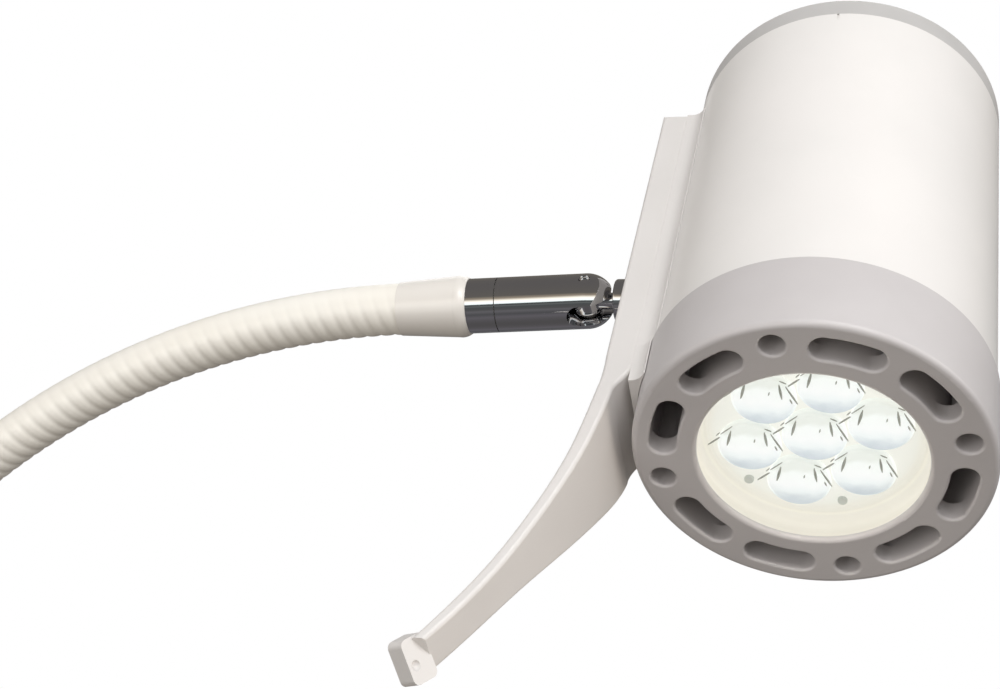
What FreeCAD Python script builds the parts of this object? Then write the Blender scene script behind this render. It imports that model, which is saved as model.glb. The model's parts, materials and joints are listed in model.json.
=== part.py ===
import FreeCAD, Part

import math
import os

from FreeCAD import Matrix, Placement, Rotation, Vector

# A surgical light on a gooseneck, in millimetres. The origin is the shoulder that the
# base ferrule stands on, +Z is up, and the mounting spigot points down from the origin.
# The neck lies in one upright plane, which is drawn as XZ and turned about Z at the end.

# Gooseneck
NECK_RISE = 2.1           # degrees that its head end still climbs
NECK_JOINTS = 6           # places where the neck is divided into rigid lengths
BEND_RADIUS = 291.5       # centreline of the arc at rest
SHEATH_RADIUS = 9.0
SHEATH_BORE = 7.1
CORE_RADIUS = 6.8
CORE_BORE = 4.4
LEAD_RADIUS = 3.0
BALL_RADIUS = 10.8        # a length of neck ends in a cap of this radius
BALL_GAP = 0.3            # from that cap to the hollow in the next length
FERRULE_RADIUS = 10.75    # at its thick end
FERRULE_THIN_RADIUS = 9.4
FERRULE_RIM_RADIUS = 9.8  # where the rounded rim meets the collar or the spigot
FERRULE_RIM_LENGTH = 4.2
FERRULE_LENGTH = 25.0
FERRULE_GRIP = 16.0       # length of sheath inside a ferrule
FERRULE_PLAY = 0.05

# Base
SPIGOT_RADIUS = 8.0
SPIGOT_LENGTH = 30.0
SPIGOT_BORE = 4.6         # round the supply socket
SOCKET_LENGTH = 10.5
THREAD_RADIUS = 6.4
THREAD_LENGTH = 8.0

# Lamp head: distances run along its axis from the front face to the rear
HEAD_HEADING = -15.7      # degrees about Z, from +X to the way the knuckle's stud points
HEAD_TILT = 41.3          # degrees that the axis climbs towards the rear
BEZEL_RADIUS = 55.0
BEZEL_LENGTH = 30.0
BEZEL_CLOCK = -10.0       # degrees from the bracket to the first bezel screw
FRONT_WALL = 7.0
OPENING_RADIUS = 35.0
OPENING_LIP = 1.9         # thickness of the lip in front of the window
WINDOW_RADIUS = 38.4
WINDOW_THICKNESS = 2.0
SEAL_THICKNESS = 0.8
WELL_RADIUS = 37.0        # inside the lens holder's skirt
WELL_WALL = 0.6           # of the skirt where it reaches past the seal
DUCT_INNER = 41.0
DUCT_OUTER = 49.6
BOSS_RADIUS = 5.6
MOUTH_FILLET = 0.9        # round the mouths of the slots and screw holes
BODY_RADIUS = 54.0
BODY_BORE = 52.0
BODY_END = 167.2
CAP_END = 177.2
CAP_WALL = 3.0
REGISTER_LENGTH = 5.0
FIT = 0.15                # radial play of a sliding fit inside the head

SCREW_COUNT = 4
SCREW_CIRCLE = 47.0
SCREW_RECESS = 3.9
SCREW_RECESS_DEPTH = 16.0
SLOT_CIRCLE = 45.3
SLOT_RADIUS = 4.25
SLOT_OFFSET = 27.0        # degrees from a screw to the middle of a slot
SLOT_SPAN = 17.8          # degrees between the centres of a slot's round ends

LENS_COUNT = 6            # round the one in the middle
LENS_CLOCK = -13.0        # degrees from the bracket to the first lens
LENS_PITCH = 20.75
LENS_RADIUS = 10.0
LENS_FRONT = 10.6
LENS_RIM = 1.5
LENS_DEPTH = 10.0
LENS_BACK_RADIUS = 5.0
LENS_POCKET_RADIUS = 3.2  # the hollow over the LED
LENS_POCKET_DEPTH = 4.0
LED_SIZE = 4.0
LED_HEIGHT = 1.0
BOARD_THICKNESS = 1.6
BOARD_SCREW_CIRCLE = 34.0
BOARD_SCREW_RADIUS = 1.2
WIRE_HOLE = (16.0, 30.0)  # through the LED board and the heat sink's flange

SINK_RADIUS = 48.6
SINK_FLANGE_END = 36.0
SINK_END = 96.0
SINK_CORE_RADIUS = 12.0
FIN_COUNT = 24
FIN_THICKNESS = 1.4
ANCHOR_HALF_WIDTH = 9.0   # the block that takes the bracket's screws
TRAY_START = 108.0
TRAY_THICKNESS = 2.0
BOARD_END = 158.0
BOARD_HALF_THICKNESS = 0.8
SOCKET_FRONT = 122.0      # where the lead meets the driver board's socket
SLIM_LEAD_RADIUS = 1.3    # the lead beyond the gooseneck
LEAD_BEND = 5.0
ROD_COUNT = 4
ROD_CLOCK = 45.0
ROD_CIRCLE = 42.0
ROD_RADIUS = 3.0
ROD_END = 164.2           # the tie rods stop at the rear cap's bosses
ROD_TAPPED_DEPTH = 12.0

# Side bracket: x is the distance out from the head's axis
BRACKET_INNER = 55.3
BRACKET_OUTER = 64.8
BRACKET_TOP = 158.0
BRACKET_HALF_WIDTH = 20.0
BRACKET_FILLET = 1.2
FLANK_FILLET = 5.0        # from the bracket's sides to the tube
FLANK_EDGE = 0.35         # thickness left where the fillet meets the tube
FLANK_START = 14.0        # the saddle's front end, beside the bezel
HANDLE_HALF_WIDTH = 7.15
HANDLE_END = (101.4, -80.0)  # inner corner of the handle's end
HANDLE_SLOPE = 30.0       # degrees, away from the head's axis
TIP_TURN = 20.0           # degrees that the handle's tip is turned in its own plane
TIP_TWIST = 33.0          # degrees that it is twisted about the handle's length
STUD_STATION = 76.1
BRACKET_SCREW_STATIONS = (50.0, 104.0)
BRACKET_SCREW_HOLE = 2.7

# Knuckle: distances run from the pivot out towards the neck
PIVOT_X = 82.2            # from the head's axis
PIN_LEAN = 38.0           # degrees that the pivot pin leans to the front from upright
BARREL_RADIUS = 9.6
BARREL_LENGTH = 31.0
SEAM_GAP = 0.3
COLLAR_END = 41.5
STUD_RADIUS = 7.5
STUD_SHOULDER = 10.05
STUD_NECK_RADIUS = 2.9
TAIL_RADIUS = 4.0
TAIL_LENGTH = 34.0
SLOT_WIDTH = 8.0
SLOT_END_X = 2.2          # centre of the clevis slot's round end
EYE_RADIUS = 5.2
EYE_THICKNESS = 7.0
PIN_RADIUS = 2.0
PIN_PLAY = 0.05
SPINDLE_RADIUS = 5.0
SPINDLE_PLAY = 0.08
SPINDLE_LENGTH = 10.0
GROOVE_X = 26.0           # where the set screw runs in the spindle's groove
LEAD_HOLE = 1.9

X = Vector(1, 0, 0)
Y = Vector(0, 1, 0)
Z = Vector(0, 0, 1)
NECK_TURN = 90 - NECK_RISE
SINK_FRONT = LENS_FRONT + LENS_DEPTH + LED_HEIGHT + BOARD_THICKNESS
HOLDER_FRONT = LENS_FRONT + LENS_RIM
HOLDER_END = SINK_FRONT - BOARD_THICKNESS
WINDOW_END = OPENING_LIP + WINDOW_THICKNESS


def frame(origin, x_axis, z_axis):
    """The placement of a frame with the given origin, X axis and Z axis."""
    y_axis = z_axis.cross(x_axis)
    return Placement(Matrix(x_axis.x, y_axis.x, z_axis.x, origin.x,
                            x_axis.y, y_axis.y, z_axis.y, origin.y,
                            x_axis.z, y_axis.z, z_axis.z, origin.z,
                            0, 0, 0, 1))


def leaning(degrees, forward):
    """A direction that many degrees from the level direction `forward` towards +Z."""
    return forward * math.cos(math.radians(degrees)) + Z * math.sin(math.radians(degrees))


def arc_place(angle):
    """The neck's centreline point and direction at an angle along its arc."""
    turn = math.radians(angle)
    point = Vector(BEND_RADIUS * (1 - math.cos(turn)), 0, FERRULE_LENGTH + BEND_RADIUS * math.sin(turn))
    return point, Vector(math.sin(turn), 0, math.cos(turn))


# The pin is square to the barrel and to the stud, so the stud turns aside from the neck.
ASIDE = math.asin(math.tan(math.radians(NECK_RISE)) / math.tan(math.radians(PIN_LEAN)))
HEADING = Placement(Vector(), Rotation(Z, HEAD_HEADING + math.degrees(ASIDE)))
STUD_AXIS = Vector(math.cos(ASIDE), -math.sin(ASIDE), 0)
FORWARD = Z.cross(STUD_AXIS)
ARC_END, NECK_AXIS = arc_place(NECK_TURN)
PIVOT = ARC_END + NECK_AXIS * (FERRULE_LENGTH + COLLAR_END)
HEAD_AXIS = leaning(HEAD_TILT, FORWARD)
PIN_AXIS = leaning(90 - PIN_LEAN, -FORWARD)
HEAD = frame(PIVOT + STUD_AXIS * PIVOT_X - HEAD_AXIS * STUD_STATION, -STUD_AXIS, HEAD_AXIS)
STUD = frame(PIVOT, -STUD_AXIS, PIN_AXIS)
KNUCKLE = frame(PIVOT, -NECK_AXIS, PIN_AXIS)
HEAD_FERRULE = frame(ARC_END + NECK_AXIS * FERRULE_LENGTH, Y, -NECK_AXIS)
BASE = Placement()


def export(name, shape, place):
    """Writes a sub-part that was drawn in the frame `place`."""
    placed = shape.copy()
    placed.Placement = HEADING.multiply(place).multiply(placed.Placement)
    placed.exportStep(f"parts/{name}.step")


def polar(radius, degrees, z=0.0):
    """A point at a radius and an angle round Z."""
    angle = math.radians(degrees)
    return Vector(radius * math.cos(angle), radius * math.sin(angle), z)


def ring(bore, radius, start, end):
    """A tube about Z; a disc where the bore is 0."""
    body = Part.makeCylinder(radius, end - start, Vector(0, 0, start))
    if bore == 0:
        return body
    return body.cut(Part.makeCylinder(bore, end - start, Vector(0, 0, start)))


def rod(radius, start, end, axis):
    """A cylinder whose own axis runs from one point to another along `axis`."""
    return Part.makeCylinder(radius, (end - start).dot(axis), start, axis)


def turned(outline):
    """A solid of revolution about Z from (radius, z) corners."""
    corners = [Vector(radius, 0, z) for radius, z in outline]
    face = Part.Face(Part.makePolygon(corners + corners[:1]))
    return face.revolve(Vector(), Z, 360)


def block(low, high):
    """A box between two corners."""
    size = high - low
    return Part.makeBox(size.x, size.y, size.z, low)


def circles(shape, radius, z):
    """The round edges of one radius about Z at one height."""
    found = []
    for edge in shape.Edges:
        curve = edge.Curve
        if not isinstance(curve, Part.Circle) or abs(curve.Radius - radius) > 0.01:
            continue
        if abs(curve.Center.z - z) < 0.01 and math.hypot(curve.Center.x, curve.Center.y) < 0.01:
            found.append(edge)
    return found


def flat_edges(shape, z):
    """The edges that lie in the plane at height z."""
    return [edge for edge in shape.Edges
            if abs(edge.BoundBox.ZMin - z) < 0.01 and abs(edge.BoundBox.ZMax - z) < 0.01]


def around(count, start, radius, z=0.0):
    """Evenly spaced points on a circle."""
    return [polar(radius, start + 360 * i / count, z) for i in range(count)]


def swept(radius, route, bend):
    """A round bar along straight runs joined by tangent arcs of one radius."""
    edges = []
    last = route[0]
    for before, corner, after in zip(route, route[1:], route[2:]):
        back = (before - corner).normalize()
        ahead = (after - corner).normalize()
        half_turn = (math.pi - back.getAngle(ahead)) / 2
        reach = bend * math.tan(half_turn)
        middle = corner + (back + ahead).normalize() * (bend / math.cos(half_turn) - bend)
        edges.append(Part.makeLine(last, corner + back * reach))
        edges.append(Part.Arc(corner + back * reach, middle, corner + ahead * reach).toShape())
        last = corner + ahead * reach
    edges.append(Part.makeLine(last, route[-1]))
    start = route[1] - route[0]
    profile = Part.Wire(Part.makeCircle(radius, route[0], start))
    return Part.Wire(edges).makePipeShell([profile], True, True)


def cap_screw(seat, thread_radius, head_radius, head_height, length, axis):
    """A socket-head screw: its head stands on `seat` and its thread follows `axis`."""
    head = Part.makeCylinder(head_radius, head_height, seat - axis * head_height, axis)
    shank = Part.makeCylinder(thread_radius, length, seat, axis)
    socket = Part.makeCylinder(head_radius / 2, head_height / 2, seat - axis * head_height, axis)
    return head.fuse(shank).cut(socket)


# ---------------------------------------------------------------- lamp head

def obround_slot(middle_angle, depth):
    """A curved slot's cutter: an arc-shaped channel with round ends."""
    first = middle_angle - SLOT_SPAN / 2
    face = Part.Face(Part.makePolygon([
        Vector(SLOT_CIRCLE - SLOT_RADIUS, 0, 0), Vector(SLOT_CIRCLE + SLOT_RADIUS, 0, 0),
        Vector(SLOT_CIRCLE + SLOT_RADIUS, 0, depth), Vector(SLOT_CIRCLE - SLOT_RADIUS, 0, depth),
        Vector(SLOT_CIRCLE - SLOT_RADIUS, 0, 0)]))
    face.rotate(Vector(), Z, first)
    channel = face.revolve(Vector(), Z, SLOT_SPAN)
    ends = [Part.makeCylinder(SLOT_RADIUS, depth, polar(SLOT_CIRCLE, first + turn))
            for turn in (0, SLOT_SPAN)]
    return channel.fuse(ends)


def front_bezel():
    """The front ring: a lip round the window, an air duct behind slots, and screw bosses."""
    register_end = BEZEL_LENGTH + REGISTER_LENGTH
    shell = turned([
        (OPENING_RADIUS, 0), (BEZEL_RADIUS, 0), (BEZEL_RADIUS, BEZEL_LENGTH),
        (BODY_BORE - FIT, BEZEL_LENGTH), (BODY_BORE - FIT, register_end), (DUCT_OUTER, register_end),
        (DUCT_OUTER, FRONT_WALL), (DUCT_INNER, FRONT_WALL), (DUCT_INNER, BEZEL_LENGTH - 1),
        (WINDOW_RADIUS + FIT, BEZEL_LENGTH - 1), (WINDOW_RADIUS + FIT, OPENING_LIP),
        (OPENING_RADIUS, OPENING_LIP)])
    shell = shell.makeFillet(2.0, circles(shell, BEZEL_RADIUS, 0))
    shell = shell.makeFillet(OPENING_LIP - 0.5, circles(shell, OPENING_RADIUS, 0))
    for centre in around(SCREW_COUNT, BEZEL_CLOCK, SCREW_CIRCLE):
        boss = Part.makeCylinder(BOSS_RADIUS, BEZEL_LENGTH - FRONT_WALL, centre + Z * FRONT_WALL)
        shell = shell.fuse(boss.common(ring(DUCT_INNER - 1, BEZEL_RADIUS - 1, 0, BEZEL_LENGTH)))
    for centre in around(SCREW_COUNT, BEZEL_CLOCK, SCREW_CIRCLE):
        shell = shell.cut(Part.makeCylinder(SCREW_RECESS, SCREW_RECESS_DEPTH, centre))
        shell = shell.cut(Part.makeCylinder(2.2, BEZEL_LENGTH, centre))
    for quarter in range(SCREW_COUNT):
        for side in (-1, 1):
            angle = BEZEL_CLOCK + 360 / SCREW_COUNT * quarter + side * SLOT_OFFSET
            shell = shell.cut(obround_slot(angle, FRONT_WALL + 1))
    shell = shell.removeSplitter()
    mouths = [edge for edge in flat_edges(shell, 0) if edge.Length < BEZEL_RADIUS]
    return shell.makeFillet(MOUTH_FILLET, mouths)


def bezel_screws():
    """Four M4 screws from the bezel into the heat sink's flange."""
    seats = around(SCREW_COUNT, BEZEL_CLOCK, SCREW_CIRCLE, SCREW_RECESS_DEPTH)
    return Part.makeCompound([cap_screw(seat, 1.95, 3.5, 4.0, 18.0, Z) for seat in seats])


def window_plate():
    """The clear front window."""
    return ring(0, WINDOW_RADIUS, OPENING_LIP, WINDOW_END)


def window_seal():
    """The flat gasket that presses the window against the lip."""
    return ring(WELL_RADIUS + WELL_WALL + 0.1, WINDOW_RADIUS, WINDOW_END, WINDOW_END + SEAL_THICKNESS)


def lens_places():
    """Centres of the seven lenses, the middle one first."""
    return [Vector()] + around(LENS_COUNT, LENS_CLOCK, LENS_PITCH)


def lens(centre):
    """A collimating lens: a rim, a tapering body and a hollow for its LED at the back."""
    back = LENS_FRONT + LENS_DEPTH
    body = turned([
        (0, LENS_FRONT), (LENS_RADIUS, LENS_FRONT), (LENS_RADIUS, HOLDER_FRONT),
        (LENS_RADIUS - 0.6, HOLDER_FRONT), (LENS_BACK_RADIUS, back), (LENS_POCKET_RADIUS, back),
        (LENS_POCKET_RADIUS, back - LENS_POCKET_DEPTH), (0, back - LENS_POCKET_DEPTH)])
    body.translate(centre)
    return body


def lens_holder():
    """The pale cup that the seven lenses stand in; its skirt reaches the window."""
    seal_end = WINDOW_END + SEAL_THICKNESS
    cup = turned([
        (0, HOLDER_FRONT), (WELL_RADIUS, HOLDER_FRONT), (WELL_RADIUS, WINDOW_END),
        (WELL_RADIUS + WELL_WALL, WINDOW_END), (WELL_RADIUS + WELL_WALL, seal_end),
        (WINDOW_RADIUS, seal_end), (WINDOW_RADIUS, HOLDER_END), (0, HOLDER_END)])
    throat = LENS_BACK_RADIUS + 0.2
    depth = LENS_FRONT + LENS_DEPTH - HOLDER_FRONT
    for centre in lens_places():
        mouth = centre + Z * HOLDER_FRONT
        cup = cup.cut(Part.makeCone(LENS_RADIUS - 0.4, throat, depth, mouth))
        cup = cup.cut(Part.makeCylinder(throat, HOLDER_END - HOLDER_FRONT, mouth))
    for seat in board_screw_seats():
        cup = cup.cut(Part.makeCylinder(2.0, 1.5, seat - Z * 1.5))
    return cup


def board_screw_seats():
    """Where the LED board's screws stand, between the outer lenses."""
    return around(3, LENS_CLOCK + 30, BOARD_SCREW_CIRCLE, HOLDER_END)


def led_board():
    """The round board that carries the LEDs, with holes for its wires and screws."""
    board = ring(0, WINDOW_RADIUS - 1, HOLDER_END, SINK_FRONT)
    for seat in board_screw_seats():
        board = board.cut(Part.makeCylinder(BOARD_SCREW_RADIUS + 0.1, BOARD_THICKNESS, seat))
    return board.cut(Part.makeCylinder(2.0, BOARD_THICKNESS, Vector(*WIRE_HOLE, HOLDER_END)))


def led_chips():
    """Seven LED packages, one under each lens."""
    half = LED_SIZE / 2
    return Part.makeCompound([
        block(centre + Vector(-half, -half, HOLDER_END - LED_HEIGHT),
              centre + Vector(half, half, HOLDER_END)) for centre in lens_places()])


def heat_sink():
    """A flanged aluminium core with radial fins and a block for the bracket's fasteners."""
    sink = ring(0, WINDOW_RADIUS - 1, SINK_FRONT, BEZEL_LENGTH)
    sink = sink.fuse(ring(0, SINK_RADIUS, BEZEL_LENGTH, SINK_FLANGE_END))
    core = ring(0, SINK_CORE_RADIUS, SINK_FLANGE_END, SINK_END)
    fin = block(Vector(10, -FIN_THICKNESS / 2, SINK_FLANGE_END),
                Vector(SINK_RADIUS, FIN_THICKNESS / 2, SINK_END))
    fins = []
    for i in range(FIN_COUNT):
        turned_fin = fin.copy()
        turned_fin.rotate(Vector(), Z, 360 * i / FIN_COUNT)
        fins.append(turned_fin)
    anchor = block(Vector(10, -ANCHOR_HALF_WIDTH, SINK_FLANGE_END),
                   Vector(BODY_BORE, ANCHOR_HALF_WIDTH, TRAY_START))
    sink = sink.fuse([core, *fins, anchor.common(ring(0, BODY_BORE - FIT, 0, BODY_END))])
    for centre in around(SCREW_COUNT, BEZEL_CLOCK, SCREW_CIRCLE):
        sink = sink.cut(Part.makeCylinder(2.0, BODY_END, centre))
    for centre in rod_places(SINK_FLANGE_END):
        sink = sink.cut(Part.makeCylinder(ROD_RADIUS + 0.3, BODY_END, centre))
    sink = sink.cut(rod(TAIL_RADIUS + 0.05, Vector(29, 0, STUD_STATION),
                        Vector(60, 0, STUD_STATION), X))
    sink = sink.cut(head_lead_tube(SLIM_LEAD_RADIUS + 0.3))
    for station in BRACKET_SCREW_STATIONS:
        sink = sink.cut(rod(2.5, Vector(38, 0, station), Vector(60, 0, station), X))
    for seat in board_screw_seats():
        sink = sink.cut(Part.makeCylinder(BOARD_SCREW_RADIUS + 0.05, 7.0, seat))
    return sink.cut(Part.makeCylinder(1.8, BODY_END, Vector(*WIRE_HOLE))).removeSplitter()


def board_screws():
    """Three small screws that hold the LED board to the heat sink, near its edge."""
    return Part.makeCompound([cap_screw(seat, BOARD_SCREW_RADIUS, 1.6, 1.0, 6.0, Z)
                              for seat in board_screw_seats()])


def driver_tray():
    """A disc behind the heat sink with two rails that grip the driver board."""
    face = TRAY_START + TRAY_THICKNESS
    tray = ring(0, SINK_RADIUS, TRAY_START, face)
    for side in (-1, 1):
        rail = block(Vector(-36, side * 2.4 - 1.5, face), Vector(36, side * 2.4 + 1.5, face + 4))
        tray = tray.fuse(rail)
    for centre in rod_places():
        tray = tray.cut(Part.makeCylinder(ROD_RADIUS + 0.05, BODY_END, centre))
    return tray.cut(head_lead_tube(SLIM_LEAD_RADIUS + 0.6)).removeSplitter()


def driver_board():
    """The LED driver's circuit board, standing on edge in the tray's rails."""
    return block(Vector(-35, -BOARD_HALF_THICKNESS, TRAY_START + TRAY_THICKNESS + 0.1),
                 Vector(35, BOARD_HALF_THICKNESS, BOARD_END))


def driver_components():
    """The driver's choke, capacitor, connector and two transistors."""
    face = BOARD_HALF_THICKNESS
    choke = rod(9.0, Vector(-18, face, 134), Vector(-18, face + 11, 134), Y)
    choke = choke.cut(rod(3.5, Vector(-18, face + 3, 134), Vector(-18, face + 11, 134), Y))
    capacitor = rod(5.0, Vector(6, face, 136), Vector(6, face + 16, 136), Y)
    socket = block(Vector(16, face, SOCKET_FRONT), Vector(30, face + 10, SOCKET_FRONT + 8))
    chips = [block(Vector(x, face, 142), Vector(x + 7, face + 3, 152)) for x in (16, 26)]
    return Part.makeCompound([choke, capacitor, socket, *chips])


def rod_places(z=0.0):
    """Where the tie rods stand."""
    return around(ROD_COUNT, ROD_CLOCK, ROD_CIRCLE, z)


def tie_rods():
    """Four rods from the heat sink's flange to the rear cap."""
    rods = []
    for centre, end in zip(rod_places(SINK_FLANGE_END), rod_places(ROD_END - ROD_TAPPED_DEPTH)):
        bar = Part.makeCylinder(ROD_RADIUS, ROD_END - SINK_FLANGE_END, centre)
        rods.append(bar.cut(Part.makeCylinder(1.5, ROD_TAPPED_DEPTH, end)))
    return Part.makeCompound(rods)


def side_hole(radius, station, start):
    """The cutter for a hole towards the bracket, from x = `start` outwards."""
    return rod(radius, Vector(start, 0, station), Vector(70, 0, station), X)


def body_tube():
    """The housing tube, with side holes and a small alignment notch in its rear edge."""
    tube = ring(BODY_BORE, BODY_RADIUS, BEZEL_LENGTH, BODY_END)
    tube = tube.cut(side_hole(TAIL_RADIUS + 0.1, STUD_STATION, 40))
    for station in BRACKET_SCREW_STATIONS:
        tube = tube.cut(side_hole(BRACKET_SCREW_HOLE, station, 40))
    notch = block(Vector(-0.4, BODY_RADIUS - 0.6, BODY_END - 3), Vector(0.4, BODY_RADIUS + 1, BODY_END))
    return tube.cut(notch)


def rear_cap():
    """The rear cover: a vented plate with a register lip and bosses for its screws."""
    inside = CAP_END - CAP_WALL
    register_start = BODY_END - REGISTER_LENGTH
    cap = turned([(0, inside), (BODY_BORE - 2.5, inside), (BODY_BORE - 2.5, register_start),
                  (BODY_BORE - FIT, register_start), (BODY_BORE - FIT, BODY_END),
                  (BODY_RADIUS, BODY_END), (BODY_RADIUS, CAP_END), (0, CAP_END)])
    cap = cap.makeFillet(2.0, circles(cap, BODY_RADIUS, CAP_END))
    for centre in rod_places(ROD_END):
        cap = cap.fuse(Part.makeCylinder(6.0, inside - ROD_END, centre))
    for centre in rod_places(ROD_END):
        cap = cap.cut(Part.makeCylinder(1.8, CAP_END - ROD_END, centre))
    for seat in rod_places(CAP_END - 4):
        cap = cap.cut(Part.makeCylinder(3.4, 4, seat))
    for quarter in range(4):
        for side in (-1, 1):
            vent = obround_slot(90 * quarter + side * 19, 2 * CAP_WALL)
            vent.translate(Vector(0, 0, inside - 1))
            cap = cap.cut(vent)
    return cap


def rear_cap_screws():
    """Four M3 screws from the rear cap into the tie rods."""
    return Part.makeCompound([cap_screw(seat, 1.45, 2.9, 3.0, 14.0, -Z)
                              for seat in rod_places(CAP_END - 4)])


def bracket_side():
    """The bracket's side view as a slab: a straight plate that runs into the handle."""
    inner = Part.BSplineCurve()
    inner.interpolate([Vector(HANDLE_END[0], 0, HANDLE_END[1]), Vector(88.9, 0, -60),
                       Vector(78.3, 0, -40), Vector(68.8, 0, -20), Vector(61.9, 0, 0),
                       Vector(60.3, 0, 8)])
    step = Part.BSplineCurve()
    step.interpolate([Vector(60.3, 0, 8), Vector(59.3, 0, 12.6), Vector(56.6, 0, 17.4),
                      Vector(BRACKET_INNER, 0, 22)])
    outer = Part.BSplineCurve()
    outer.interpolate([Vector(BRACKET_OUTER, 0, 26), Vector(67.2, 0, 0), Vector(73.6, 0, -20),
                       Vector(82.9, 0, -40), Vector(93.6, 0, -60), Vector(105.6, 0, HANDLE_END[1])])
    start, end = Vector(BRACKET_INNER, 0, BRACKET_TOP), Vector(BRACKET_OUTER, 0, BRACKET_TOP)
    edges = [inner.toShape(),
             step.toShape(),
             Part.makeLine(Vector(BRACKET_INNER, 0, 22), start),
             Part.makeLine(start, end),
             Part.makeLine(end, Vector(BRACKET_OUTER, 0, 26)),
             outer.toShape(),
             Part.makeLine(Vector(105.6, 0, HANDLE_END[1]), Vector(HANDLE_END[0], 0, HANDLE_END[1]))]
    face = Part.Face(Part.Wire(Part.__sortEdges__(edges)))
    face.translate(Vector(0, -BRACKET_HALF_WIDTH - 2, 0))
    return face.extrude(Vector(0, 2 * BRACKET_HALF_WIDTH + 4, 0))


def bracket_front():
    """The bracket's front view as a slab: parallel sides, then a concave taper."""
    right = Part.BSplineCurve()
    width = BRACKET_HALF_WIDTH
    slim = HANDLE_HALF_WIDTH
    right.interpolate([Vector(0, width, 14), Vector(0, 19.5, 2), Vector(0, 16.6, -10),
                       Vector(0, 11.9, -30), Vector(0, 8.2, -50), Vector(0, slim, -66),
                       Vector(0, slim, -90)])
    left = right.toShape().mirror(Vector(), Y)
    edges = [right.toShape(), left,
             Part.makeLine(Vector(0, -slim, -90), Vector(0, slim, -90)),
             Part.makeLine(Vector(0, width, 14), Vector(0, width, BRACKET_TOP + 5)),
             Part.makeLine(Vector(0, -width, 14), Vector(0, -width, BRACKET_TOP + 5)),
             Part.makeLine(Vector(0, -width, BRACKET_TOP + 5), Vector(0, width, BRACKET_TOP + 5))]
    face = Part.Face(Part.Wire(Part.__sortEdges__(edges)))
    face.translate(Vector(BRACKET_INNER - 10, 0, 0))
    return face.extrude(Vector(BRACKET_OUTER, 0, 0))


def handle_tip():
    """The rounded block that ends the handle, turned and twisted, with a dimple inside."""
    low, high = Vector(-0.3, -6.8, -8.8), Vector(6.0, 6.8, 0.3)
    middle = (low + high) * 0.5
    tip = block(low, high)
    tip = tip.makeFillet(2.0, [e for e in tip.Edges
                               if abs(e.BoundBox.XLength - (high.x - low.x)) < 0.01])
    tip = tip.cut(Part.makeSphere(1.8, Vector(-1.1, -1.3, -6.2)))
    tip.rotate(middle, Z, -TIP_TWIST)
    tip.rotate(middle, X, TIP_TURN)
    tip.rotate(Vector(), Y, -HANDLE_SLOPE)
    tip.translate(Vector(HANDLE_END[0], 0, HANDLE_END[1]))
    return tip


def saddle(inner_radius, start, end):
    """A length of saddle between a round surface and the plate, with hollowed flanks."""
    land = inner_radius + FLANK_EDGE
    hollow_y = BRACKET_HALF_WIDTH + FLANK_FILLET
    hollow_x = math.sqrt((land + FLANK_FILLET) ** 2 - hollow_y ** 2)
    foot = Vector(hollow_x, hollow_y, 0) * (land / (land + FLANK_FILLET))
    length = end - start
    low = Vector(inner_radius - 10, -foot.y, start)
    body = block(low, Vector(BRACKET_INNER + 0.5, foot.y, end))
    body = body.cut(ring(0, inner_radius, start, end))
    for side in (-1, 1):
        centre = Vector(hollow_x, side * hollow_y, start)
        body = body.cut(Part.makeCylinder(FLANK_FILLET, length, centre))
        near, far = sorted((side * BRACKET_HALF_WIDTH, side * hollow_y))
        body = body.cut(block(Vector(hollow_x, near, start), Vector(BRACKET_OUTER, far, end)))
    return body


def side_bracket():
    """The moulded bracket: a saddle on the tube, a flat plate and the handle."""
    bracket = bracket_side().common(bracket_front())
    outline = [edge for edge in bracket.Edges if edge.BoundBox.ZMax > HANDLE_END[1] + 1
               and (edge.BoundBox.YMin > HANDLE_HALF_WIDTH - 0.2
                    or edge.BoundBox.YMax < 0.2 - HANDLE_HALF_WIDTH)]
    bracket = bracket.makeFillet(BRACKET_FILLET, outline)
    bracket = bracket.fuse([saddle(BODY_RADIUS + 0.02, BEZEL_LENGTH + 0.4, BRACKET_TOP),
                            saddle(BEZEL_RADIUS + 0.2, FLANK_START, BEZEL_LENGTH + 0.4)])
    bracket = bracket.fuse(handle_tip())
    bracket = bracket.cut(side_hole(TAIL_RADIUS + 0.1, STUD_STATION, 50))
    for station in BRACKET_SCREW_STATIONS:
        bracket = bracket.cut(side_hole(BRACKET_SCREW_HOLE, station, 50))
        bracket = bracket.cut(side_hole(4.6, station, BRACKET_OUTER - 5))
    return bracket.removeSplitter()


def bracket_screws():
    """Two M5 screws through the bracket and the tube into the heat sink's block."""
    seats = [Vector(BRACKET_OUTER - 5, 0, station) for station in BRACKET_SCREW_STATIONS]
    return Part.makeCompound([cap_screw(seat, 2.45, 4.3, 4.5, 20.0, -X) for seat in seats])


def head_lead_tube(radius):
    """A tube along the lead's route, from the stud's bore to the driver board's socket."""
    route = [Vector(PIVOT_X - 4.5, 0, STUD_STATION), Vector(23, 0, STUD_STATION),
             Vector(23, 7.3, 93), Vector(23, 7.3, SOCKET_FRONT - 0.2)]
    return swept(radius, route, LEAD_BEND)


def head_lead():
    """The two-core lead between the stud and the driver board."""
    return head_lead_tube(SLIM_LEAD_RADIUS)


# ---------------------------------------------------------------- knuckle

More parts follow.
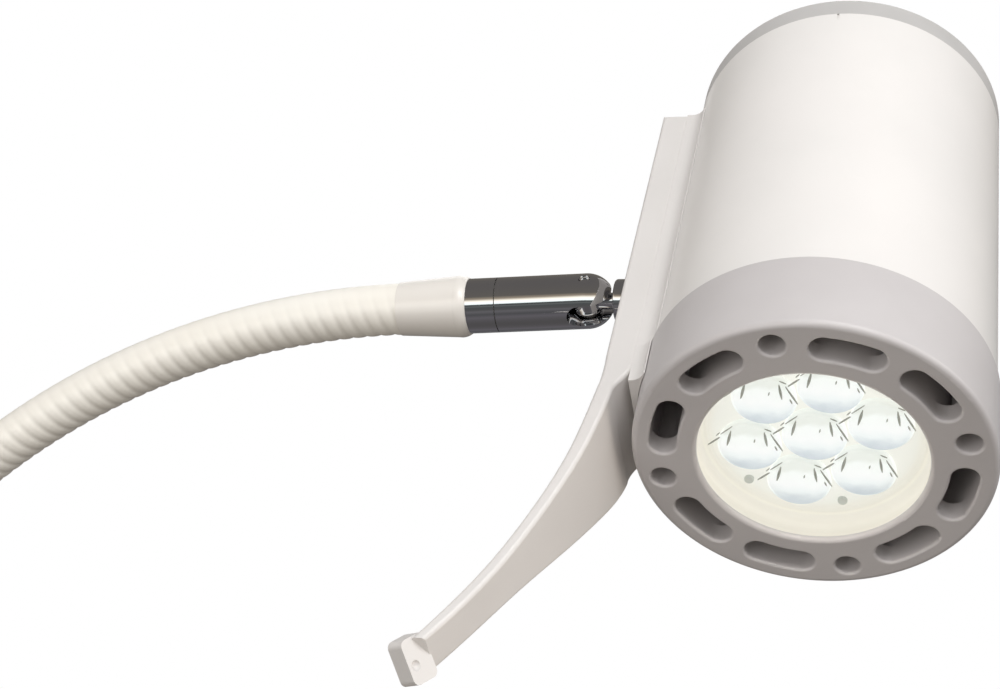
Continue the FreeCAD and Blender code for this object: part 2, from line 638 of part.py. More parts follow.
def knuckle_stud():
    """The chromed stud: an eye on a slim rod, a shoulder and a threaded tail."""
    eye = Part.makeCylinder(EYE_RADIUS, EYE_THICKNESS, Vector(0, 0, -EYE_THICKNESS / 2))
    eye = eye.makeFillet(1.5, circles(eye, EYE_RADIUS, EYE_THICKNESS / 2)
                         + circles(eye, EYE_RADIUS, -EYE_THICKNESS / 2))
    seat = -(PIVOT_X - BRACKET_OUTER)
    stud = rod(STUD_NECK_RADIUS, Vector(-STUD_SHOULDER - 1, 0, 0), Vector(), X)
    shoulder = rod(STUD_RADIUS, Vector(seat, 0, 0), Vector(-STUD_SHOULDER, 0, 0), X)
    shoulder = shoulder.makeFillet(0.8, [e for e in shoulder.Edges
                                         if abs(e.BoundBox.XMax + STUD_SHOULDER) < 0.01
                                         and e.BoundBox.XLength < 0.01])
    tail = rod(TAIL_RADIUS, Vector(seat - TAIL_LENGTH, 0, 0), Vector(seat, 0, 0), X)
    stud = eye.fuse([stud, shoulder, tail])
    stud = stud.cut(rod(SLIM_LEAD_RADIUS + 0.2, Vector(seat - TAIL_LENGTH, 0, 0), Vector(-4, 0, 0), X))
    return stud.cut(Part.makeCylinder(PIN_RADIUS + PIN_PLAY, 20, Vector(0, 0, -10)))


def clevis_barrel():
    """The chromed barrel: a ball-ended clevis for the eye and a socket for the spindle."""
    barrel = rod(BARREL_RADIUS, Vector(), Vector(BARREL_LENGTH, 0, 0), X)
    barrel = barrel.fuse(Part.makeSphere(BARREL_RADIUS)).removeSplitter()
    half = SLOT_WIDTH / 2
    slot = block(Vector(-12, -12, -half), Vector(SLOT_END_X, 12, half))
    slot = slot.fuse(rod(half, Vector(SLOT_END_X, -12, 0), Vector(SLOT_END_X, 12, 0), Y))
    barrel = barrel.cut(slot)
    barrel = barrel.cut(Part.makeCylinder(PIN_RADIUS + 0.01, 20, Vector(0, 0, -10)))
    bore_start = BARREL_LENGTH - SPINDLE_LENGTH - 0.5
    barrel = barrel.cut(rod(SPINDLE_RADIUS + SPINDLE_PLAY, Vector(bore_start, 0, 0),
                            Vector(BARREL_LENGTH, 0, 0), X))
    barrel = barrel.cut(rod(LEAD_HOLE, Vector(), Vector(bore_start + 1, 0, 0), X))
    return barrel.cut(rod(1.5, Vector(GROOVE_X, 0, -BARREL_RADIUS - 1), Vector(GROOVE_X, 0, 0), Z))


def pivot_pin():
    """The pin of the knuckle's hinge, flush with the barrel's sides."""
    reach = BARREL_RADIUS - 0.9
    pin = Part.makeCylinder(PIN_RADIUS, 2 * reach, Vector(0, 0, -reach))
    return pin.makeChamfer(0.3, circles(pin, PIN_RADIUS, reach) + circles(pin, PIN_RADIUS, -reach))


def friction_washers():
    """Two washers between the eye and the clevis."""
    start = EYE_THICKNESS / 2 + 0.05
    disc = ring(PIN_RADIUS + PIN_PLAY, 3.2, start, start + 0.3)
    return Part.makeCompound([disc, disc.mirror(Vector(), Z)])


def swivel_set_screw():
    """The grub screw whose tip runs in the spindle's groove."""
    return rod(1.45, Vector(GROOVE_X, 0, -BARREL_RADIUS + 0.6),
               Vector(GROOVE_X, 0, -SPINDLE_RADIUS + 0.5), Z)


def knuckle_lead():
    """The lead inside the barrel, from the clevis slot to the spindle."""
    return rod(SLIM_LEAD_RADIUS, Vector(7, 0, 0), Vector(BARREL_LENGTH - SPINDLE_LENGTH - 0.8, 0, 0), X)


def swivel_collar():
    """The chromed collar on the neck, whose grooved spindle turns in the barrel."""
    seam = BARREL_LENGTH + SEAM_GAP
    collar = rod(BARREL_RADIUS, Vector(seam, 0, 0), Vector(COLLAR_END, 0, 0), X)
    spindle = rod(SPINDLE_RADIUS, Vector(BARREL_LENGTH - SPINDLE_LENGTH, 0, 0), Vector(seam, 0, 0), X)
    thread = rod(THREAD_RADIUS, Vector(COLLAR_END, 0, 0), Vector(COLLAR_END + THREAD_LENGTH, 0, 0), X)
    collar = collar.fuse([spindle, thread])
    groove_start, groove_end = Vector(GROOVE_X - 1.7, 0, 0), Vector(GROOVE_X + 1.7, 0, 0)
    groove = rod(SPINDLE_RADIUS + 1, groove_start, groove_end, X)
    collar = collar.cut(groove.cut(rod(SPINDLE_RADIUS - 0.9, groove_start, groove_end, X)))
    return collar.cut(rod(LEAD_HOLE, Vector(), Vector(60, 0, 0), X))


def swivel_washer():
    """The thin washer in the seam between barrel and collar."""
    start, end = Vector(BARREL_LENGTH + 0.05, 0, 0), Vector(BARREL_LENGTH + 0.25, 0, 0)
    return rod(8.4, start, end, X).cut(rod(SPINDLE_RADIUS + 0.1, start, end, X))


# ---------------------------------------------------------------- gooseneck

def ferrule():
    """A tapering ferrule about +Z: a thread in its thick end, a bore that grips the sheath."""
    rim = Part.Arc(Vector(FERRULE_RIM_RADIUS, 0, 0),
                   Vector(FERRULE_RADIUS - 0.2, 0, FERRULE_RIM_LENGTH / 3),
                   Vector(FERRULE_RADIUS, 0, FERRULE_RIM_LENGTH)).toShape()
    corners = [Vector(FERRULE_RADIUS, 0, FERRULE_RIM_LENGTH), Vector(FERRULE_THIN_RADIUS, 0, FERRULE_LENGTH),
               Vector(0, 0, FERRULE_LENGTH), Vector(), Vector(FERRULE_RIM_RADIUS, 0, 0)]
    body = Part.Face(Part.Wire([rim, *Part.makePolygon(corners).Edges])).revolve(Vector(), Z, 360)
    body = body.cut(ring(0, CORE_BORE, 0, FERRULE_LENGTH))
    body = body.cut(ring(0, THREAD_RADIUS + 0.02, 0, THREAD_LENGTH + 0.5))
    return body.cut(ring(0, SHEATH_RADIUS + FERRULE_PLAY, FERRULE_LENGTH - FERRULE_GRIP, FERRULE_LENGTH))


def joint_angle(index):
    """The angle of a neck joint; joints are numbered from 1 at the base."""
    return (index - 0.5) * NECK_TURN / NECK_JOINTS


def neck_tube(bore, radius, index):
    """One rigid length of a tube that follows the neck, ending at its joints."""
    overrun = math.degrees(1.3 * BALL_RADIUS / BEND_RADIUS)
    first = joint_angle(index - 1) if index > 1 else 0
    last = joint_angle(index) + overrun if index <= NECK_JOINTS else NECK_TURN
    section = Part.Face(Part.Wire(Part.makeCircle(radius, Vector(0, 0, FERRULE_LENGTH), Z)))
    if bore:
        hole = Part.Face(Part.Wire(Part.makeCircle(bore, Vector(0, 0, FERRULE_LENGTH), Z)))
        section = section.cut(hole).Faces[0]
    centre = Vector(BEND_RADIUS, 0, FERRULE_LENGTH)
    section.rotate(centre, Y, first)
    tube = section.revolve(centre, Y, last - first)
    if index == 1:
        tube = tube.fuse(ring(bore, radius, FERRULE_LENGTH - FERRULE_GRIP + 0.5, FERRULE_LENGTH))
    if index > NECK_JOINTS:
        straight = Part.makeCylinder(radius, FERRULE_GRIP - 0.5, ARC_END, NECK_AXIS)
        if bore:
            straight = straight.cut(Part.makeCylinder(bore, FERRULE_GRIP, ARC_END, NECK_AXIS))
        tube = tube.fuse(straight)
    if index <= NECK_JOINTS:
        point, along = arc_place(joint_angle(index))
        beyond = Part.makeCylinder(2 * BALL_RADIUS, 2 * BALL_RADIUS, point, along)
        tube = tube.cut(beyond.cut(Part.makeSphere(BALL_RADIUS, point)))
    if index > 1:
        point, along = arc_place(joint_angle(index - 1))
        tube = tube.cut(Part.makeSphere(BALL_RADIUS + BALL_GAP, point))
    return tube.removeSplitter()


def base_spigot():
    """The steel spigot that stands in a clamp or a socket, threaded into the ferrule."""
    spigot = ring(0, SPIGOT_RADIUS, -SPIGOT_LENGTH, 0)
    spigot = spigot.makeChamfer(1.0, circles(spigot, SPIGOT_RADIUS, -SPIGOT_LENGTH))
    spigot = spigot.fuse(ring(0, THREAD_RADIUS, 0, THREAD_LENGTH))
    return spigot.cut(ring(0, LEAD_RADIUS + 0.4, -SPIGOT_LENGTH, THREAD_LENGTH)).cut(
        ring(0, SPIGOT_BORE, -SPIGOT_LENGTH, -SPIGOT_LENGTH + SOCKET_LENGTH + 1.5))


def supply_socket():
    """The round supply socket in the end of the spigot, with its two contacts."""
    front = -SPIGOT_LENGTH + 1
    socket = ring(0, SPIGOT_BORE - 0.1, front, front + SOCKET_LENGTH)
    for x in (-1.8, 1.8):
        socket = socket.cut(Part.makeCylinder(0.6, 6, Vector(x, 0, front)))
    return socket


def lead(index):
    """The supply lead in one length of neck; its ends reach the socket and the knuckle."""
    tube = neck_tube(0, LEAD_RADIUS, index)
    if index == 1:
        start = -SPIGOT_LENGTH + SOCKET_LENGTH + 1.1
        end = FERRULE_LENGTH - FERRULE_GRIP + 0.6
        tube = tube.fuse(ring(0, LEAD_RADIUS, start, end))
    if index > NECK_JOINTS:
        start = ARC_END + NECK_AXIS * (FERRULE_GRIP - 0.6)
        end = PIVOT - NECK_AXIS * (BARREL_LENGTH - SPINDLE_LENGTH)
        tube = tube.fuse(rod(SLIM_LEAD_RADIUS, start, end, NECK_AXIS))
    return tube.removeSplitter()


def main():
    os.makedirs("parts", exist_ok=True)
    export("front_bezel", front_bezel(), HEAD)
    export("bezel_screws", bezel_screws(), HEAD)
    export("window_plate", window_plate(), HEAD)
    export("window_seal", window_seal(), HEAD)
    export("lens_holder", lens_holder(), HEAD)
    for number, centre in enumerate(lens_places(), 1):
        export(f"lens_{number}", lens(centre), HEAD)
    export("led_board", led_board(), HEAD)
    export("led_chips", led_chips(), HEAD)
    export("board_screws", board_screws(), HEAD)
    export("heat_sink", heat_sink(), HEAD)
    export("driver_tray", driver_tray(), HEAD)
    export("driver_board", driver_board(), HEAD)
    export("driver_components", driver_components(), HEAD)
    export("tie_rods", tie_rods(), HEAD)
    export("body_tube", body_tube(), HEAD)
    export("rear_cap", rear_cap(), HEAD)
    export("rear_cap_screws", rear_cap_screws(), HEAD)
    export("side_bracket", side_bracket(), HEAD)
    export("bracket_screws", bracket_screws(), HEAD)
    export("head_lead", head_lead(), HEAD)
    export("knuckle_stud", knuckle_stud(), STUD)
    export("clevis_barrel", clevis_barrel(), KNUCKLE)
    export("pivot_pin", pivot_pin(), KNUCKLE)
    export("friction_washers", friction_washers(), KNUCKLE)
    export("swivel_set_screw", swivel_set_screw(), KNUCKLE)
    export("knuckle_lead", knuckle_lead(), KNUCKLE)
    export("swivel_collar", swivel_collar(), KNUCKLE)
    export("swivel_washer", swivel_washer(), KNUCKLE)
    export("head_ferrule", ferrule(), HEAD_FERRULE)
    export("base_ferrule", ferrule(), BASE)
    export("base_spigot", base_spigot(), BASE)
    export("supply_socket", supply_socket(), BASE)
    for index in range(1, NECK_JOINTS + 2):
        export(f"sheath_{index}", neck_tube(SHEATH_BORE, SHEATH_RADIUS, index), BASE)
        export(f"core_{index}", neck_tube(CORE_BORE, CORE_RADIUS, index), BASE)
        export(f"lead_{index}", lead(index), BASE)


main()
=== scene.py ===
import json
import math

import bmesh
import bpy
from mathutils import Matrix, Vector

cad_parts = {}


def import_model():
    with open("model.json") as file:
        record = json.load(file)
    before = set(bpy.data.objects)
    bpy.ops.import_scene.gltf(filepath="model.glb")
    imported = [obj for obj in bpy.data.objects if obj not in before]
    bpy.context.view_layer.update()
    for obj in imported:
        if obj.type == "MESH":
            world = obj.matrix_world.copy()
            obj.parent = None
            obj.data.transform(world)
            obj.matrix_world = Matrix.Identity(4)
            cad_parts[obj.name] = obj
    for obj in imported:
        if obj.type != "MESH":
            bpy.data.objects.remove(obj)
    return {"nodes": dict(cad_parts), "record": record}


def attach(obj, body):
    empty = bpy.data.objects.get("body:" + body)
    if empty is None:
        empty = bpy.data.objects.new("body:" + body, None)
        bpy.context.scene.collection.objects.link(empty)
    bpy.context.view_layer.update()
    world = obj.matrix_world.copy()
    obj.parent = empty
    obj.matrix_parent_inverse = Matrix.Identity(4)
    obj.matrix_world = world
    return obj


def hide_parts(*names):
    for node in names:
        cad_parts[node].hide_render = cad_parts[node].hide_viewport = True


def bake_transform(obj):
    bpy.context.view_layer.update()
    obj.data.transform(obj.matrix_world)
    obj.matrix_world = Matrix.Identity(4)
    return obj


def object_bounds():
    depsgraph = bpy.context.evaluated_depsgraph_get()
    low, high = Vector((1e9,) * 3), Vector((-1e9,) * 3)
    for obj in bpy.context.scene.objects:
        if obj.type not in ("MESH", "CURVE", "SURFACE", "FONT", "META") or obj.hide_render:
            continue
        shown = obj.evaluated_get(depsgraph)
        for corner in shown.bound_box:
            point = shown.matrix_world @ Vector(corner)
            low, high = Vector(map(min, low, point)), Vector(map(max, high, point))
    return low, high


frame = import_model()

CAD_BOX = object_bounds()
NODES = frame["nodes"]
SLOTS = {entry["node"]: entry["material_slot"] for entry in frame["record"]["subparts"]}

# ------------------------------------------------------------------ dimensions (metres)

MM = 0.001
STUD_HEADING = -15.7               # degrees about Z: the way the knuckle's stud points
HEAD_TILT = math.radians(41.3)     # climb of the head's axis towards the rear
NECK_RISE = 2.1                    # degrees that the neck's head end still climbs
PIN_LEAN = 38.0                    # degrees that the hinge pin leans from upright
BEND_RADIUS = 291.5 * MM
NECK_TURN = math.radians(90 - NECK_RISE)
FERRULE_LENGTH = 25.0 * MM
COLLAR_END = 41.5 * MM             # from the hinge pin to the head ferrule
PIVOT_X = 82.2 * MM                # from the head's axis to the hinge pin
STUD_STATION = 76.1 * MM           # from the head's front to the hinge pin, along its axis
SHEATH_RADIUS = 9.1 * MM
SHEATH_GROOVE = 0.42 * MM          # depth on the inside of the bend
SHEATH_PITCH = 5.3 * MM
SHEATH_STARTS = 3                  # grooves that wind side by side
SHEATH_TAIL = 14 * MM              # length of sheath inside a ferrule
NECK_JOINTS = 6
LENS_CLOCK = -13.0                 # degrees from the bracket to the first outer lens
LENS_PITCH = 20.75 * MM
LENS_RADIUS = 10.0 * MM
LENS_ROLL = 1.4 * MM               # radius of a lens's rolled rim
LENS_FRONT = 10.6 * MM             # behind the front ring's face, as the next two are
WINDOW_BACK = 3.9 * MM
DECK = 12.1 * MM                   # the cup's floor
WELL_RADIUS = 37.0 * MM            # the cup's inside
CUP_FOOT = 2.2 * MM                # radius between the cup's skirt and its deck
PEG_CIRCLE = 30.0 * MM             # radius on which the deck's pegs stand

# The pin is square to the neck and to the stud, so the stud turns a little aside.
ASIDE = math.asin(math.tan(math.radians(NECK_RISE)) / math.tan(math.radians(PIN_LEAN)))
HEADING = math.radians(STUD_HEADING) + ASIDE

UP = Vector((0, 0, 1))
AWAY = Vector((math.cos(HEADING), math.sin(HEADING), 0))    # from the base towards the head


def arc_place(turn):
    """Centreline point and direction at an angle along the neck's arc."""
    point = AWAY * (BEND_RADIUS * (1 - math.cos(turn))) + UP * (FERRULE_LENGTH + BEND_RADIUS * math.sin(turn))
    return point, AWAY * math.sin(turn) + UP * math.cos(turn)


ARC_END, NECK_AXIS = arc_place(NECK_TURN)
PIVOT = ARC_END + NECK_AXIS * (FERRULE_LENGTH + COLLAR_END)
STUD_AXIS = Vector((math.cos(math.radians(STUD_HEADING)), math.sin(math.radians(STUD_HEADING)), 0))
HEAD_AXIS = UP.cross(STUD_AXIS) * math.cos(HEAD_TILT) + UP * math.sin(HEAD_TILT)
HEAD_OUT = -STUD_AXIS                                        # from the head's axis to the bracket
HEAD_WIDE = HEAD_AXIS.cross(HEAD_OUT)
HEAD_FRONT = PIVOT + STUD_AXIS * PIVOT_X - HEAD_AXIS * STUD_STATION
HEAD = Matrix((HEAD_OUT, HEAD_WIDE, HEAD_AXIS)).transposed().to_4x4()
HEAD.translation = HEAD_FRONT


# ------------------------------------------------------------------ colour ramps

# Painted glow of the LEDs' light across the cup, brighter and darker by radius: the deck, the rounded foot,
# the skirt.
CUP_PAINTED_GLOW_STOPS = [(0.0, (1.0, 1.0, 0.93)), (0.45, (0.97, 0.97, 0.89)), (0.68, (0.92, 0.88, 0.76)),
             (0.75, (1.0, 0.96, 0.82)), (0.80, (0.94, 0.90, 0.79)), (1.0, (1.0, 0.94, 0.81))]
# Painted glow of a lens from its lower rim to its upper rim, with a painted pale blue reflection near its
# lower rim.
LENS_PAINTED_GLOW_STOPS = [(0.0, (0.80, 0.84, 0.80)), (0.16, (0.44, 0.50, 0.56)), (0.34, (0.60, 0.66, 0.70)),
              (0.50, (0.90, 0.94, 0.93)), (0.66, (1.0, 1.0, 0.98)), (0.9, (0.98, 1.0, 0.95)),
              (1.0, (0.84, 0.86, 0.78))]
# The world from straight down to straight up: soft light, what gloss shows, and the bright tube in it.
ROOM_STOPS = [(0.0, (0.20, 0.182, 0.16)), (0.35, (0.33, 0.305, 0.275)), (0.55, (0.47, 0.46, 0.45)),
              (1.0, (0.47, 0.47, 0.47))]
DIM_STOPS = [(0.0, (0.11, 0.105, 0.105)), (0.10, (0.17, 0.16, 0.175)), (0.18, (0.11, 0.11, 0.115)),
             (0.27, (0.18, 0.175, 0.185)), (0.33, (0.12, 0.12, 0.12)), (0.41, (0.105, 0.115, 0.115)),
             (0.45, (0.19, 0.205, 0.20)), (0.48, (0.09, 0.10, 0.10)), (0.52, (0.12, 0.13, 0.13)),
             (0.62, (0.20, 0.17, 0.14)), (0.72, (0.18, 0.165, 0.145)), (1.0, (0.155, 0.145, 0.14))]
TUBE_STOPS = [(0.0, (0, 0, 0)), (0.515, (0, 0, 0)), (0.528, (0.85, 0.94, 0.92)), (0.585, (1, 1, 0.98)),
              (0.625, (1, 0.96, 0.84)), (0.70, (0.2, 0.16, 0.11)), (0.78, (0, 0, 0)), (1.0, (0, 0, 0))]


# ------------------------------------------------------------------ helpers

def mesh_object(name, points, faces, smooth=True):
    """A mesh object from points and faces."""
    mesh = bpy.data.meshes.new(name)
    mesh.from_pydata([tuple(point) for point in points], [], faces)
    mesh.validate()
    mesh.update()
    if smooth:
        mesh.polygons.foreach_set("use_smooth", [True] * len(mesh.polygons))
    made = bpy.data.objects.new(name, mesh)
    bpy.context.scene.collection.objects.link(made)
    return made


def neck_point(length):
    """Centreline point, direction and outward normal at a length from the base's shoulder."""
    arc = BEND_RADIUS * NECK_TURN
    turn = min(max((length - FERRULE_LENGTH) / BEND_RADIUS, 0.0), NECK_TURN)
    point, along = arc_place(turn)
    if length < FERRULE_LENGTH:
        point -= along * (FERRULE_LENGTH - length)
    if length > FERRULE_LENGTH + arc:
        point += along * (length - FERRULE_LENGTH - arc)
    return point, along, UP * math.sin(turn) - AWAY * math.cos(turn)


# ------------------------------------------------------------------ materials

def new_material(name, color, roughness, **values):
    """A Principled material; values name its other sockets."""
    material = bpy.data.materials.new(name)
    material.use_nodes = True
    shader = material.node_tree.nodes["Principled BSDF"]
    shader.inputs["Base Color"].default_value = (*color, 1)
    shader.inputs["Roughness"].default_value = roughness
    for socket, value in values.items():
        shader.inputs[socket.replace("_", " ")].default_value = value
    return material, shader


def noise(tree, scale, detail=2.0, roughness=0.5):
    """Noise in the coordinates of the object that wears the material."""
    where = tree.nodes.new("ShaderNodeTexCoord")
    texture = tree.nodes.new("ShaderNodeTexNoise")
    texture.inputs["Scale"].default_value = scale
    texture.inputs["Detail"].default_value = detail
    texture.inputs["Roughness"].default_value = roughness
    tree.links.new(where.outputs["Object"], texture.inputs["Vector"])
    return texture


def ranged(tree, value, low, high):
    """Maps a 0 to 1 value on to a range."""
    scaled = tree.nodes.new("ShaderNodeMapRange")
    scaled.inputs["To Min"].default_value = low
    scaled.inputs["To Max"].default_value = high
    tree.links.new(value, scaled.inputs["Value"])
    return scaled.outputs["Result"]


def mottle(material, shader, dark, light, scale):
    """Slow colour variation between two tones."""
    tree = material.node_tree
    texture = noise(tree, scale, 4.0)
    ramp = tree.nodes.new("ShaderNodeValToRGB")
    ramp.color_ramp.elements[0].position = 0.3
    ramp.color_ramp.elements[0].color = (*dark, 1)
    ramp.color_ramp.elements[1].position = 0.7
    ramp.color_ramp.elements[1].color = (*light, 1)
    tree.links.new(texture.outputs["Fac"], ramp.inputs["Fac"])
    tree.links.new(ramp.outputs["Color"], shader.inputs["Base Color"])


def grain(material, shader, scale, strength, distance=0.02 * MM, rough=None):
    """Fine surface texture in the bump and, if a range is given, in the roughness."""
    tree = material.node_tree
    texture = noise(tree, scale, 3.0)
    bump = tree.nodes.new("ShaderNodeBump")
    bump.inputs["Strength"].default_value = strength
    bump.inputs["Distance"].default_value = distance
    tree.links.new(texture.outputs["Fac"], bump.inputs["Height"])
    tree.links.new(bump.outputs["Normal"], shader.inputs["Normal"])
    if rough:
        slow = noise(tree, 60.0, 4.0)
        tree.links.new(ranged(tree, slow.outputs["Fac"], *rough), shader.inputs["Roughness"])


def plastic(name, dark, light, roughness, grain_scale=1800.0, strength=0.25, **values):
    """Moulded plastic: two close tones, a fine grain and uneven gloss."""
    material, shader = new_material(name, light, roughness, **values)
    mottle(material, shader, dark, light, 22.0)
    grain(material, shader, grain_scale, strength, rough=(roughness - 0.05, roughness + 0.06))
    return material


def metal(name, color, roughness, scale=900.0, strength=0.1, **values):
    """Bare metal with a faintly uneven polish."""
    material, shader = new_material(name, color, roughness, Metallic=1.0, **values)
    grain(material, shader, scale, strength, distance=0.006 * MM,
          rough=(max(0.02, roughness - 0.03), roughness + 0.04))
    return material


def make_materials():
    """One material for each of the record's slots."""
    made = {
        "housing_white": plastic("housing_white", (0.775, 0.755, 0.735), (0.81, 0.785, 0.765), 0.34,
                                 Coat_Weight=0.15, Coat_Roughness=0.2),
        "bezel_grey": plastic("bezel_grey", (0.53, 0.505, 0.505), (0.58, 0.555, 0.555), 0.42),
        "cap_grey": plastic("cap_grey", (0.48, 0.47, 0.46), (0.54, 0.525, 0.52), 0.45),
        "bracket_white": plastic("bracket_white", (0.668, 0.645, 0.628), (0.708, 0.685, 0.668), 0.36),
        "sheath_ivory": plastic("sheath_ivory", (0.86, 0.825, 0.755), (0.875, 0.85, 0.79), 0.34),
        "ferrule_white": plastic("ferrule_white", (0.75, 0.715, 0.67), (0.79, 0.76, 0.715), 0.30,
                                 Coat_Weight=0.3, Coat_Roughness=0.15),
        "holder_white": painted_glow_holder(),
        "seal_black": plastic("seal_black", (0.02, 0.02, 0.02), (0.05, 0.05, 0.05), 0.7),
        "lead_jacket": plastic("lead_jacket", (0.05, 0.05, 0.055), (0.08, 0.08, 0.085), 0.55),
        "socket_black": plastic("socket_black", (0.02, 0.02, 0.02), (0.04, 0.04, 0.04), 0.4),
        "component_dark": plastic("component_dark", (0.03, 0.03, 0.035), (0.06, 0.06, 0.065), 0.4),
        "washer_nylon": plastic("washer_nylon", (0.7, 0.69, 0.62), (0.78, 0.77, 0.70), 0.45),
        "led_board_white": plastic("led_board_white", (0.82, 0.81, 0.76), (0.88, 0.87, 0.84), 0.35),
        "driver_board_green": plastic("driver_board_green", (0.02, 0.15, 0.06), (0.03, 0.2, 0.08), 0.3),
        "chrome": metal("chrome", (0.62, 0.62, 0.635), 0.05),
        "screw_steel": metal("screw_steel", (0.30, 0.30, 0.31), 0.28),
        "core_steel": metal("core_steel", (0.45, 0.45, 0.45), 0.35),
        "spigot_steel": metal("spigot_steel", (0.52, 0.52, 0.53), 0.28),
        "sink_aluminium": metal("sink_aluminium", (0.62, 0.63, 0.64), 0.34),
    }
    made["clear_window"] = clear("clear_window", (0.985, 0.99, 0.985), 0.01)
    made["clear_lens"] = clear("clear_lens", (0.97, 0.985, 0.975), 0.03)
    glow, shader = new_material("led_glow", (0.9, 0.8, 0.4), 0.4, Emission_Strength=25.0,
                                Emission_Color=(1.0, 0.93, 0.78, 1))
    mottle(glow, shader, (0.9, 0.75, 0.3), (0.95, 0.85, 0.45), 900.0)
    made["led_glow"] = glow
    made["painted_glow_lens"] = painted_glow_lens()
    # The ribs' faint emission is painted glow of the LEDs' light.
    made["rib_clear"] = plastic("rib_clear", (0.16, 0.165, 0.13), (0.36, 0.37, 0.31), 0.15,
                                Emission_Color=(0.75, 0.78, 0.66, 1), Emission_Strength=0.10)
    # The pegs' emission is painted glow of the LEDs' light.
    made["pad_grey"] = plastic("pad_grey", (0.26, 0.27, 0.24), (0.34, 0.35, 0.32), 0.4,
                               Emission_Color=(0.8, 0.82, 0.72, 1), Emission_Strength=0.32)
    return made


def clear(name, color, roughness):
    """Clear moulded acrylic with barely uneven polish."""
    material, shader = new_material(name, color, roughness, IOR=1.49, Transmission_Weight=1.0)
    grain(material, shader, 300.0, 0.04, distance=0.01 * MM)
    return material


def dress_nodes():
    """Gives each CAD node the material of its slot."""
    for name, node in NODES.items():
        node.data.materials.clear()
        node.data.materials.append(MATERIALS[SLOTS[name]])


# ------------------------------------------------------------------ gooseneck sheath

AROUND = 64                        # points round a ring of the sheath
STEP = 0.38 * MM                   # from one ring to the next
GROOVE_SHARPNESS = 1.8
SHALLOW = 0.15                     # share of the groove's depth on the outside of the bend
INSIDE_SHARPNESS = 1.6


def sheath_profile(length, angle):
    """Radius of the sheath: slanting grooves that are deeper on the inside of the bend."""
    phase = length / SHEATH_PITCH - SHEATH_STARTS * angle / (2 * math.pi)
    groove = (0.5 + 0.5 * math.cos(2 * math.pi * phase)) ** GROOVE_SHARPNESS
    inside = 0.5 - 0.5 * math.cos(angle)
    return SHEATH_RADIUS - SHEATH_GROOVE * groove * (SHALLOW + (1 - SHALLOW) * inside ** INSIDE_SHARPNESS)


def sheath_piece(index):
    """The sheath from the middle of one rigid length to the middle of the next."""
    arc = BEND_RADIUS * NECK_TURN
    start = FERRULE_LENGTH + arc * (index - 1) / NECK_JOINTS
    end = FERRULE_LENGTH + arc * index / NECK_JOINTS
    blend_from, blend_to = neck_point(start)[0], neck_point(end)[0]
    if index == 1:
        start -= SHEATH_TAIL
    if index == NECK_JOINTS:
        end += SHEATH_TAIL
    rings = round((end - start) / STEP)
    points, faces = [], []
    for ring in range(rings + 1):
        length = start + (end - start) * ring / rings
        centre, along, outward = neck_point(length)
        side = along.cross(outward)
        for spoke in range(AROUND):
            angle = 2 * math.pi * spoke / AROUND
            radius = sheath_profile(length, angle)
            points.append(centre + (outward * math.cos(angle) + side * math.sin(angle)) * radius)
    for ring in range(rings):
        for spoke in range(AROUND):
            a = ring * AROUND + spoke
            b = ring * AROUND + (spoke + 1) % AROUND
            faces.append((a, b, b + AROUND, a + AROUND))
    piece = mesh_object(f"sheath_skin_{index}", points, faces)
    piece.data.materials.append(MATERIALS["sheath_ivory"])
    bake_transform(piece)
    return piece


def gooseneck():
    """The whole corrugated sheath; it stands for the plain CAD lengths."""
    for index in range(1, NECK_JOINTS + 1):
        piece = sheath_piece(index)
        if index == 1:
            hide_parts("sheath_1", "sheath_2")
        else:
            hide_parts(f"sheath_{index + 1}")


# ------------------------------------------------------------------ lens cluster

def lens_places():
    """Centres of the seven lenses in the head's own plane, the middle one first."""
    ring = [(LENS_PITCH * math.cos(math.radians(LENS_CLOCK + 60 * i)),
             LENS_PITCH * math.sin(math.radians(LENS_CLOCK + 60 * i))) for i in range(6)]
    return [(0.0, 0.0), *ring]


def in_head(piece, x=0.0, y=0.0):
    """Puts a piece that was drawn about the head's axis in its place, riding on the head."""
    piece.matrix_world = HEAD @ Matrix.Translation((x, y, 0))
    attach(piece, "lamp_head")
    return piece


def revolved(name, outline, around):
    """A surface of revolution about Z from (radius, z) corners; a radius of 0 closes it."""
    points, faces = [], []
    for radius, z in outline:
        for spoke in range(around):
            angle = 2 * math.pi * spoke / around
            points.append((radius * math.cos(angle), radius * math.sin(angle), z))
    for ring in range(len(outline) - 1):
        for spoke in range(around):
            a, b = ring * around + spoke, ring * around + (spoke + 1) % around
            faces.append((a, a + around, b + around, b))
    made = mesh_object(name, points, faces)
    bm = bmesh.new()
    bm.from_mesh(made.data)
    bmesh.ops.remove_doubles(bm, verts=bm.verts, dist=1e-6)
    bm.to_mesh(made.data)
    bm.free()
    return made


def lens_optic(index, x, y):
    """One moulded lens: a gently crowned face, a rolled rim and its visible side wall."""
    crown = [(LENS_RADIUS * 0.86 * i / 12, LENS_FRONT - 0.5 * MM * math.cos(math.pi / 2 * i / 12) + 0.3 * MM)
             for i in range(13)]
    roll = [(LENS_RADIUS - LENS_ROLL * (1 - math.sin(math.pi / 2 * i / 8)),
             LENS_FRONT + LENS_ROLL + 0.3 * MM - LENS_ROLL * math.cos(math.pi / 2 * i / 8)) for i in range(9)]
    wall = [(LENS_RADIUS - 0.1 * MM, DECK + 0.9 * MM), (LENS_RADIUS - 0.5 * MM, DECK + 2.6 * MM)]
    piece = revolved(f"lens_optic_{index}", crown + roll + wall, 72)
    piece.data.materials.append(MATERIALS["painted_glow_lens"])
    in_head(piece, x, y)
    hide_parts(f"lens_{index}")


BLADE_STEPS = 10

